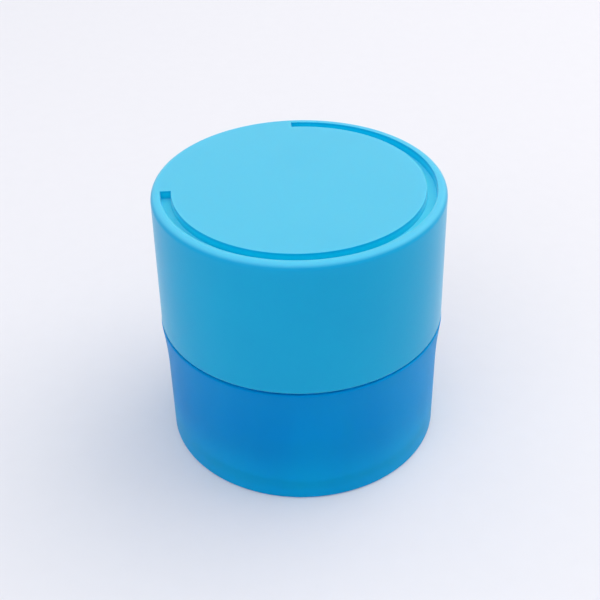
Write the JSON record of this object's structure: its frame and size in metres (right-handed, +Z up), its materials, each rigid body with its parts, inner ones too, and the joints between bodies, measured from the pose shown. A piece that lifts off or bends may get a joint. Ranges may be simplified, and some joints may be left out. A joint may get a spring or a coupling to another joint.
{
  "type": "pill crusher",
  "caption": "Round screw-down pill crusher: a turning cap drives a press head straight down into a crushing bowl, which plugs into a clear storage cup.",
  "frame": {"origin": "centre of the foot ring's underside, on the turning axis, on the table", "axes": "+Z up along the axis that the cap turns about; +X to the right and -Y towards the viewer, with the plain quarter of the cap's groove at the back left"},
  "size_m": [0.061, 0.061, 0.0593],
  "materials": {
    "cap_blue": "fine satin",
    "clear_blue": "frosted, translucent",
    "bowl_blue": "translucent",
    "press_white": "satin",
    "steel": "fine turned",
    "silicone": "matte, translucent"
  },
  "bodies": {
    "base": {"base_shell": "clear_blue", "foot_ring": "silicone"},
    "bowl": {"crush_bowl": "bowl_blue", "crush_plate": "steel", "bowl_seal": "silicone", "neck_seal": "silicone"},
    "press": {"press_head": "press_white", "wiper_ring": "silicone", "press_screw": "steel", "press_washer": "press_white"},
    "cap": {"cap_core": "press_white", "cap_shell": "cap_blue"}
  },
  "joints": [
    {"name": "bowl_lift", "type": "slide", "parent": "base", "child": "bowl", "axis": [0, 0, 1], "range_m": [0, 0.03]},
    {"name": "press_travel", "type": "slide", "parent": "bowl", "child": "press", "axis": [0, 0, 1], "range_m": [0, 0.0362]},
    {"name": "cap_turn", "type": "hinge", "parent": "press", "child": "cap", "pos_m": [0, 0, 0.0469], "axis": [0, 0, 1], "range_deg": [0, 1620]}
  ],
  "couplings": [
    {"joint": "press_travel", "follows": "cap_turn", "m_per_rad": 0.0012732}
  ]
}
